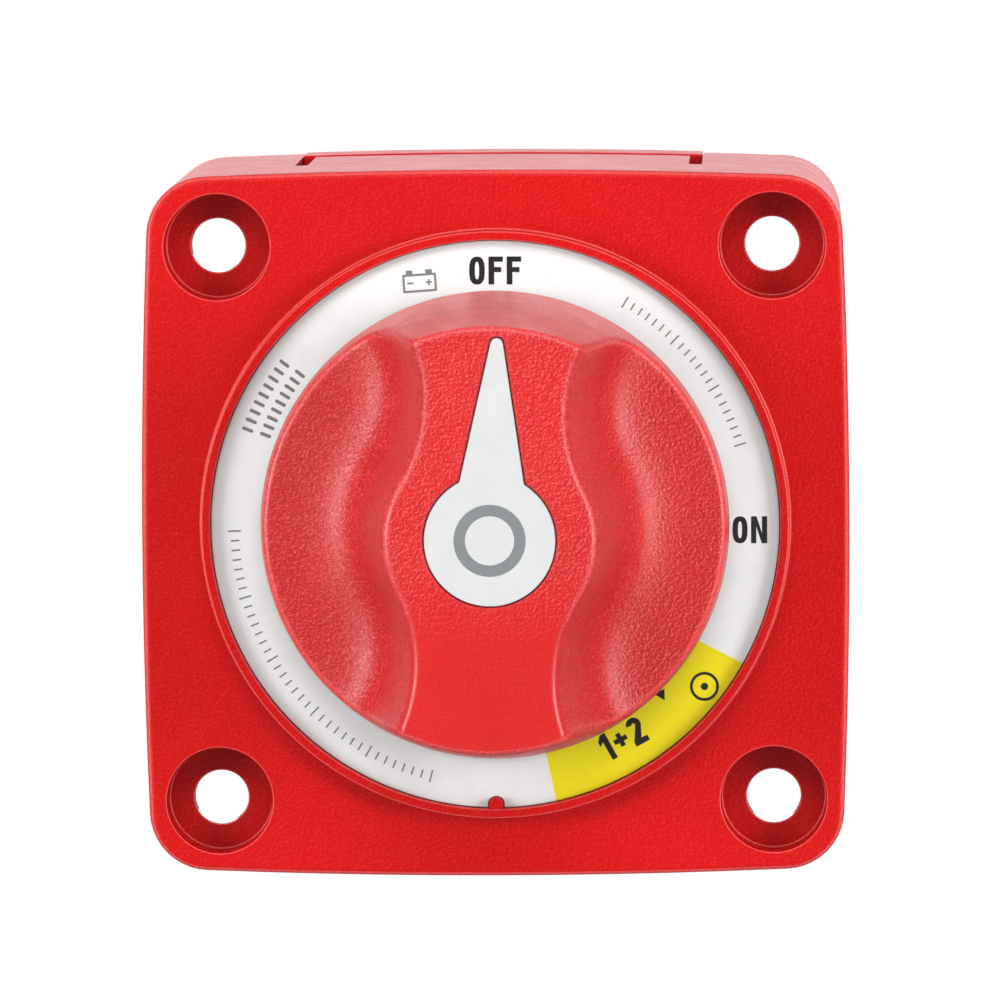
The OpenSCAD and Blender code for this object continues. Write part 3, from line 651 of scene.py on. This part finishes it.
# plain battery outline
at = (24.75 * math.sin(math.radians(-17.0)), 24.75 * math.cos(math.radians(-17.0)))
outline = box2(-1.65, -1.05, 1.65, 0.75, 0.12)
zones.append((placed(outline, at, 4), 3, [placed(box2(-1.43, -0.83, 1.43, 0.53, 0.06), at, 4)]))
for s in (-1, 1):
    zones.append((placed(box2(s * 0.95 - 0.32, 0.70, s * 0.95 + 0.32, 1.12, 0.05), at, 4), 3, []))
zones.append((placed(box2(-1.2, -0.22, -0.6, -0.04, 0.04), at, 4), 3, []))
zones.append((placed(box2(0.6, -0.22, 1.2, -0.04, 0.04), at, 4), 3, []))
zones.append((placed(box2(0.81, -0.43, 0.99, 0.17, 0.04), at, 4), 3, []))

bm = bmesh.new()
plate(bm, label_edge(LABEL_R, NOTCH_R), [circle(10.0, 90)], zones, LABEL_HI.z, LABEL_LO.z,
      label_edge(LABEL_R - 0.05, NOTCH_R + 0.04), [circle(10.05, 90)], 0.05)
to_object("label_face", bm, [WHITE, YELLOW, BLACK, GREY], "case", "label_print", ("label_ring",), sharp=30)


# ------------------------------------------------------------------ knob

Z0, Z1 = KNOB_LO.z, KNOB_HI.z
H = Z1 - Z0
R0 = KNOB_HI.x
R1 = R0 - 2.3
LOBE, WAIST, WAIST_Y = 10.3, 7.0, 12.6
WR = (WAIST ** 2 + WAIST_Y ** 2 - LOBE ** 2) / (2 * (LOBE - WAIST))
WX = WAIST + WR
WG = math.atan2(WAIST_Y, WX)
SCOOP = np.array([[-4.2, 38], [-2.8, 32], [-1.5, 26.4], [-0.1, 22.4], [0.5, 20.2], [1.15, 16.2], [1.8, 12.0], [2.4, 8.8], [3.1, 6.5],
                  [4.0, 5.05], [5.1, 4.2], [6.4, 3.7], [8.0, 3.4], [10.0, 3.25], [12.0, 3.2], [14, 3.3], [17, 3.5]])


def spline(p, per=12):
    out = []
    for i in range(len(p) - 1):
        a, b = p[i], p[i + 1]
        ta = (b - p[max(i - 1, 0)]) / 2
        tb = (p[min(i + 2, len(p) - 1)] - a) / 2
        for s in np.arange(per) / per:
            out.append((2 * s**3 - 3 * s**2 + 1) * a + (s**3 - 2 * s**2 + s) * ta + (3 * s**2 - 2 * s**3) * b + (s**3 - s**2) * tb)
    out.append(p[-1])
    return np.array(out)


curve = spline(SCOOP)
GD, GZ, STEP = -6.0, -3.0, 0.06
gd = np.arange(GD, 16.0, STEP)
gz = np.arange(GZ, 27.0, STEP)
DD, ZZ = np.meshgrid(gd, gz, indexing="ij")
best = np.full(DD.shape, 1e9)
for (ax, az), (bx, bz) in zip(curve[:-1], curve[1:]):
    ux, uz = bx - ax, bz - az
    s = np.clip(((DD - ax) * ux + (ZZ - az) * uz) / (ux * ux + uz * uz), 0, 1)
    best = np.minimum(best, (DD - ax - s * ux) ** 2 + (ZZ - az - s * uz) ** 2)
order = np.argsort(curve[:, 0])
sign = np.where(ZZ > np.interp(DD, curve[order, 0], curve[order, 1]), 1.0, -1.0)
FIELD = np.sqrt(best) * sign


def scoop_distance(d, z):
    x = np.clip((d - GD) / STEP, 0, len(gd) - 1.001)
    y = np.clip((z - GZ) / STEP, 0, len(gz) - 1.001)
    i, j = x.astype(int), y.astype(int)
    u, v = x - i, y - j
    return ((FIELD[i, j] * (1 - u) + FIELD[i + 1, j] * u) * (1 - v)
            + (FIELD[i, j + 1] * (1 - u) + FIELD[i + 1, j + 1] * u) * v)


def smax(a, b, k):
    h = np.clip(0.5 + 0.5 * (a - b) / k, 0, 1)
    return b + (a - b) * h + k * h * (1 - h)


DRAFT = math.atan2(R0 - R1, H)


def solid(x, y, z):
    """Below zero inside the knob. x and y may be folded into one quarter, as the knob is symmetric."""
    x, y = abs(x), abs(y)
    r = np.hypot(x, y)
    g = np.arctan2(y, x)
    d = np.where(g < WG, r - LOBE, WR - np.hypot(x - WX, y - WAIST_Y))
    top = z - H
    cone = (r - (R0 - (R0 - R1) * z / H)) * math.cos(DRAFT)
    body = smax(top, cone, 0.75)
    return smax(body, scoop_distance(d, z), 0.75)


RAYS = 560
FINE = 620
quarter = np.arange(RAYS // 4 + 1) * (2 * math.pi / RAYS)
rr = np.linspace(1.2, R0 - 0.02, FINE)
X = np.cos(quarter)[:, None] * rr
Y = np.sin(quarter)[:, None] * rr
lo = np.full(X.shape, -2.0)
hi = np.full(X.shape, H + 1.0)
for _ in range(24):
    mid = (lo + hi) / 2
    out = solid(X, Y, mid) > 0
    hi = np.where(out, mid, hi)
    lo = np.where(out, lo, mid)
Hgt = np.maximum((lo + hi) / 2, 0.22)
PER = 132
rows = []
for k in range(len(quarter)):
    h = Hgt[k]
    ds = np.hypot(np.diff(rr), np.diff(h))
    ang = np.unwrap(np.arctan2(np.diff(h), np.diff(rr)))
    turn = np.abs(np.gradient(ang)) if len(ang) > 1 else ang * 0
    turn = np.convolve(turn, np.ones(9) / 9, "same")
    w = ds * 1.0 + turn * 1.6
    s = np.concatenate([[0], np.cumsum(w)])
    at = np.linspace(0, s[-1], PER)
    rows.append((np.interp(at, s, rr), np.interp(at, s, h)))
Rq = np.array([r for r, _ in rows])
Hq = np.array([h for _, h in rows])
# the quarter's rows of samples, mirrored round the whole circle
fold = list(range(0, RAYS // 4 + 1)) + list(range(RAYS // 4 - 1, -1, -1))
fold = fold + fold[1:-1]
verts, faces = [], []
SEC = [(R0 - 0.12, 0.06), (R0 - 0.30, 0.0), (20.4, 0.0), (20.4, 1.1), (8.6, 1.1), (8.6, 0.0), ("d", 0.0), ("d", 9.2),
       (2.3, 9.2), (2.3, 11.6), (4.2, 11.6), (4.2, H - 0.5)]
for j in range(RAYS):
    g = 2 * math.pi * j / RAYS
    c, s = math.cos(g), math.sin(g)
    q = fold[j % len(fold)]
    for r, h in zip(Rq[q], Hq[q]):
        verts.append((r * c, r * s, h))
    for r, h in SEC:
        if r == "d":
            r = min(5.55, 4.25 / max(abs(c), 1e-6))
        verts.append((r * c, r * s, h))
N = PER + len(SEC)
for j in range(RAYS):
    a, b = j * N, ((j + 1) % RAYS) * N
    for i in range(N - 1):
        faces.append((a + i, a + i + 1, b + i + 1, b + i))
faces.append([j * N for j in range(RAYS)])
faces.append([j * N + N - 1 for j in range(RAYS)][::-1])
me = bpy.data.meshes.new("knob_body")
me.from_pydata([Vector(v) + Vector((0, 0, Z0)) for v in verts], [], faces)
# painted highlight: faces on tightly rounded crests (grip edges and rim) take the lighter highlight material
crest = []
for r, h in zip(Rq, Hq):
    a = np.unwrap(np.arctan2(np.diff(h), np.diff(r)))
    ds = np.hypot(np.diff(r), np.diff(h))
    bend = -(np.roll(a, -1) - np.roll(a, 1)) / np.maximum(np.roll(ds, -1) / 2 + ds + np.roll(ds, 1) / 2, 1e-6)
    bend[:2] = bend[-2:] = 0
    bend = np.convolve(bend, np.ones(3) / 3, "same")
    crest.append((bend > 1.0) & (a < -0.28) & (a > -1.15))
index = np.zeros(len(faces), np.int32)
for j in range(RAYS):
    near = crest[fold[j % len(fold)]]
    index[j * (N - 1):j * (N - 1) + PER - 1] = near
me.polygons.foreach_set("material_index", index)


def pointer_outline(inset, n=64):
    """Pointer: a disc that runs out into a tapered finger with a round tip."""
    R, tip, ytip = 6.42 - inset, 0.75 - inset, 18.75
    base = (3.25 - inset, 5.4)
    # the taper's own line, met with the disc
    dx, dy = tip - base[0], ytip - base[1]
    a = dx * dx + dy * dy
    b = 2 * (base[0] * dx + base[1] * dy)
    cc = base[0] ** 2 + base[1] ** 2 - R * R
    s = (-b + math.sqrt(b * b - 4 * a * cc)) / (2 * a)
    px, py = base[0] + dx * s, base[1] + dy * s
    g0 = math.atan2(py, px)
    pts = [(R * math.cos(math.pi - g0 + (2 * g0 + math.pi) * i / n), R * math.sin(math.pi - g0 + (2 * g0 + math.pi) * i / n))
           for i in range(n + 1)]
    slope = math.atan2(-dx, dy)
    for i in range(15):
        g = slope + (math.pi - 2 * slope) * i / 14
        pts.append((tip * math.cos(g), ytip + tip * math.sin(g)))
    return pts


bm = bmesh.new()
levels = [(Z1 - 0.9, 0.0), (Z1 - 0.24, 0.0), (Z1 + 0.01, -0.20), (Z1 + 0.6, -0.67)]
prev = None
for z, inset in levels:
    ring = [bm.verts.new((x, y, z)) for x, y in pointer_outline(inset)]
    if prev:
        for i in range(len(ring)):
            bm.faces.new((prev[i], prev[(i + 1) % len(ring)], ring[(i + 1) % len(ring)], ring[i]))
    else:
        bm.faces.new(ring[::-1])
    prev = ring
bm.faces.new(prev)
bmesh.ops.recalc_face_normals(bm, faces=bm.faces)
cut_mesh = bpy.data.meshes.new("pocket")
bm.to_mesh(cut_mesh)
bm.free()
tool = bpy.data.objects.new("pocket", cut_mesh)
raw = bpy.data.objects.new("knob_raw", me)
for o in (tool, raw):
    bpy.context.scene.collection.objects.link(o)
cut = raw.modifiers.new("cut", "BOOLEAN")
cut.operation, cut.object, cut.solver = "DIFFERENCE", tool, "EXACT"
dg = bpy.context.evaluated_depsgraph_get()
done = bpy.data.meshes.new_from_object(raw.evaluated_get(dg), depsgraph=dg)
for o in (tool, raw):
    bpy.data.objects.remove(o)
knob = to_object("knob_grip", done, [KNOB, KNOB_EDGE_HIGHLIGHT], "rotor", "knob_red", ("knob",), turn=True, sharp=38)

# ------------------------------------------------------------------ pointer inlay
bm = bmesh.new()
zones = [(circle(3.45, 72), 1, [circle(2.35, 60)])]
plate(bm, pointer_outline(0.14), [], zones, INLAY_HI.z, INLAY_LO.z, pointer_outline(0.20), [], 0.06)
to_object("pointer_face", bm, [INLAY, MARK], "rotor", "pointer_white", ("pointer_inlay",), turn=True, sharp=30)


# ------------------------------------------------------------------ inner parts

def coil(name, node, r, wire, h, n, origin, axis, body, steps=28, joint=None):
    """Round wire wound n turns, its end turns lying flat, from origin along axis (local frame)."""
    total = int(n * steps)
    path = []
    for i in range(total + 1):
        t = i / steps
        s = min(max(t - 0.5, 0), n - 1) / (n - 1)
        s = s * s * (3 - 2 * s) * 0.15 + s * 0.85
        path.append((r * math.cos(2 * math.pi * t), r * math.sin(2 * math.pi * t), wire + (h - 2 * wire) * s))
    bm = bmesh.new()
    k, prev = 10, None
    for i, p in enumerate(path):
        a, b = path[max(i - 1, 0)], path[min(i + 1, total)]
        tan = (Vector(b) - Vector(a)).normalized()
        out = Vector((p[0], p[1], 0)).normalized()
        side = tan.cross(out).normalized()
        end = 0.82 if i in (0, total) else 1.0
        ring = [bm.verts.new(Vector(p) + wire * end * (math.cos(2 * math.pi * j / k) * out + math.sin(2 * math.pi * j / k) * side)) for j in range(k)]
        if prev:
            for j in range(k):
                bm.faces.new((prev[j], prev[(j + 1) % k], ring[(j + 1) % k], ring[j]))
        else:
            bm.faces.new(ring[::-1])
        prev = ring
    bm.faces.new(prev)
    bmesh.ops.recalc_face_normals(bm, faces=bm.faces)
    rot = Vector((0, 0, 1)).rotation_difference(Vector(axis)).to_matrix().to_4x4()
    bm.transform(Matrix.Translation(Vector(origin)) @ rot)
    return bm


def merge(bms):
    me = bpy.data.meshes.new("join")
    total = bmesh.new()
    for b in bms:
        b.to_mesh(me)
        b.free()
        total.from_mesh(me)
    return total


Z_BASE = 30.2
z_disc, z_pl = Z_BASE + 5.2, Z_BASE + 11.0
spring_z = Z_BASE + 1.65 + 2.02
for tag, g in (("a", 0), ("b", 180)):
    parts = []
    for s in (-22, 22):
        q = math.radians(g + s)
        parts.append(coil("", "", 1.75, 0.3, z_disc + 3.6 - spring_z - 0.03, 4, (16.4 * math.cos(q), 16.4 * math.sin(q), spring_z), (0, 0, 1), ""))
    ob = to_object("bridge_springs_%s_look" % tag, merge(parts), SPRING, "rotor", "spring_steel", ("bridge_springs_" + tag,), turn=True, sharp=40)
    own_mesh(ob)
ob = to_object("combine_spring_look", coil("", "", 5.9, 0.45, z_disc + 3.2 - spring_z - 0.03, 3, (0, 0, spring_z), (0, 0, 1), "", 40),
               SPRING, "rotor", "spring_steel", ("combine_spring",), turn=True, sharp=40)
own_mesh(ob)
for tag, g in (("a", 90), ("b", 270)):
    q = math.radians(g)
    c, s = math.cos(q), math.sin(q)
    ob = to_object("detent_spring_%s_look" % tag, coil("", "", 1.1, 0.25, 4.5, 5, (8.45 * c, 8.45 * s, z_pl), (c, s, 0), "", 24),
                   SPRING, "rotor", "spring_steel", ("detent_spring_" + tag,), turn=True, sharp=40)

for node, mat, slot, body, width in (
    ("knob_screw", STEEL, "steel", "rotor", 0.08), ("knob_washer", STEEL, "steel", "rotor", 0.08),
    ("spindle", NYLON, "black_nylon", "rotor", 0.10), ("shaft_seal", RUBBER, "seal_rubber", "rotor", 0.0),
    ("thrust_washer", ACETAL, "natural_acetal", "rotor", 0.08), ("detent_ring", ACETAL, "natural_acetal", "case", 0.10),
    ("detent_plunger_a", STEEL, "steel", "plunger_a", 0.0), ("detent_plunger_b", STEEL, "steel", "plunger_b", 0.0),
    ("base_gasket", RUBBER, "seal_rubber", "case", 0.06), ("contact_base", NYLON, "black_nylon", "case", 0.15),
    ("base_screws", STEEL, "steel", "case", 0.06), ("contact_pad_a", TINNED, "tinned_copper", "case", 0.12),
    ("contact_pad_b", TINNED, "tinned_copper", "case", 0.12), ("contact_pad_c", TINNED, "tinned_copper", "case", 0.12),
    ("contact_pad_d", TINNED, "tinned_copper", "case", 0.12), ("terminal_studs", BRASS, "tinned_brass", "case", 0.12),
    ("stud_flat_washers", BRASS, "tinned_brass", "case", 0.12), ("stud_lock_washers", STEEL, "steel", "case", 0.10),
    ("stud_nuts", BRASS, "tinned_brass", "case", 0.12), ("bridge_contact_a", COPPER, "copper", "bridge_a", 0.15),
    ("bridge_contact_b", COPPER, "copper", "bridge_b", 0.15), ("combine_contact", COPPER, "copper", "combiner", 0.12),
):
    refine(node, mat, slot, body, width=width)


# ------------------------------------------------------------------ stage, light, camera

def world():
    w = bpy.data.worlds.new("studio")
    bpy.context.scene.world = w
    w.use_nodes = True
    t = w.node_tree
    t.nodes.clear()
    out = t.nodes.new("ShaderNodeOutputWorld")
    add = lambda kind: t.nodes.new(kind)
    seen, glow, mix, path = add("ShaderNodeBackground"), add("ShaderNodeBackground"), add("ShaderNodeMixShader"), add("ShaderNodeLightPath")
    seen.inputs["Color"].default_value = (1, 1, 1, 1)
    seen.inputs["Strength"].default_value = 1.0
    geo, sep = add("ShaderNodeTexCoord"), add("ShaderNodeSeparateXYZ")
    t.links.new(geo.outputs["Generated"], sep.inputs[0])
    ramp = add("ShaderNodeMapRange")
    ramp.interpolation_type = "SMOOTHSTEP"
    # y runs from the camera side (-1) to the bright backdrop (+1)
    ramp.inputs["From Min"].default_value, ramp.inputs["From Max"].default_value = -1.0, 0.15
    ramp.inputs["To Min"].default_value, ramp.inputs["To Max"].default_value = 0.10, 0.38
    drop = add("ShaderNodeMapRange")
    drop.interpolation_type = "SMOOTHSTEP"
    drop.inputs["From Min"].default_value, drop.inputs["From Max"].default_value = 0.55, 0.95
    drop.inputs["To Min"].default_value, drop.inputs["To Max"].default_value = 0.0, 1.6
    both = add("ShaderNodeMath")
    both.operation = "ADD"
    t.links.new(sep.outputs["Y"], ramp.inputs["Value"])
    t.links.new(sep.outputs["Y"], drop.inputs["Value"])
    t.links.new(ramp.outputs["Result"], both.inputs[0])
    t.links.new(drop.outputs["Result"], both.inputs[1])
    t.links.new(both.outputs[0], glow.inputs["Strength"])
    glow.inputs["Color"].default_value = (1, 1, 1, 1)
    t.links.new(path.outputs["Is Camera Ray"], mix.inputs["Fac"])
    t.links.new(glow.outputs[0], mix.inputs[1])
    t.links.new(seen.outputs[0], mix.inputs[2])
    t.links.new(mix.outputs[0], out.inputs["Surface"])


world()

# plain pale floor
bm = bmesh.new()
FLOOR = CAD_LO.z - 0.10
grid = bmesh.ops.create_grid(bm, x_segments=8, y_segments=8, size=30.0)
me = bpy.data.meshes.new("floor")
bm.to_mesh(me)
bm.free()
floor = bpy.data.objects.new("floor", me)
floor.location = (0, 0, FLOOR)
bpy.context.scene.collection.objects.link(floor)
floor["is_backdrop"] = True
t = Tree("floor_white")
d = t.add("ShaderNodeBsdfDiffuse", {"Color": (0.52, 0.52, 0.52, 1)})
e = t.add("ShaderNodeEmission", {"Color": t.mix(t.noise(t.coord(), 3.0, 2.0), (1, 1, 1, 1), (0.99, 0.99, 0.99, 1)), "Strength": 1.02})
p = t.add("ShaderNodeLightPath")
mx = t.add("ShaderNodeMixShader", {0: p.outputs["Is Camera Ray"], 1: d.outputs[0], 2: e.outputs[0]})
t.t.links.new(mx.outputs[0], t.out.inputs["Surface"])
me.materials.append(t.mat)


def area(name, at, size, power, target=(0, -0.05, 0), tint=(1, 1, 1)):
    data = bpy.data.lights.new(name, "AREA")
    data.shape = "RECTANGLE"
    data.size, data.size_y = size
    data.energy = power
    data.color = tint
    ob = bpy.data.objects.new(name, data)
    ob.location = at
    ob.rotation_mode = "QUATERNION"
    ob.rotation_quaternion = (Vector(target) - Vector(at)).to_track_quat("-Z", "Y")
    bpy.context.scene.collection.objects.link(ob)
    return ob


area("box_right", (1.06, -0.74, 0.14), (0.50, 0.62), 9.4)
area("box_left", (-1.06, -0.70, 0.14), (0.50, 0.62), 9.2)
area("top", (0.0, -1.05, 0.86), (1.0, 0.5), 7.3)

# camera: the photograph's viewing angle
def axis_turn(a, axis):
    return Matrix.Rotation(math.radians(a), 4, axis)


data = bpy.data.cameras.new("view")
data.sensor_width, data.lens = 36.0, 12372.0 / 1000 * 36.0
data.clip_start, data.clip_end = 0.05, 60.0
cam = bpy.data.objects.new("view", data)
bpy.context.scene.collection.objects.link(cam)
pose = (Matrix.Rotation(math.radians(90), 4, "X") @ Matrix.Translation(Vector((28.06, 82.247, 1249.686)) * MM)
        @ axis_turn(1.3169, "Y") @ axis_turn(-3.8088, "X") @ axis_turn(-0.2644, "Z"))
cam.matrix_world = pose
bpy.context.scene.camera = cam
scene = bpy.context.scene
scene.view_settings.view_transform = "Standard"
scene.view_settings.look = "None"

bpy.context.view_layer.update()
lo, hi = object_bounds()
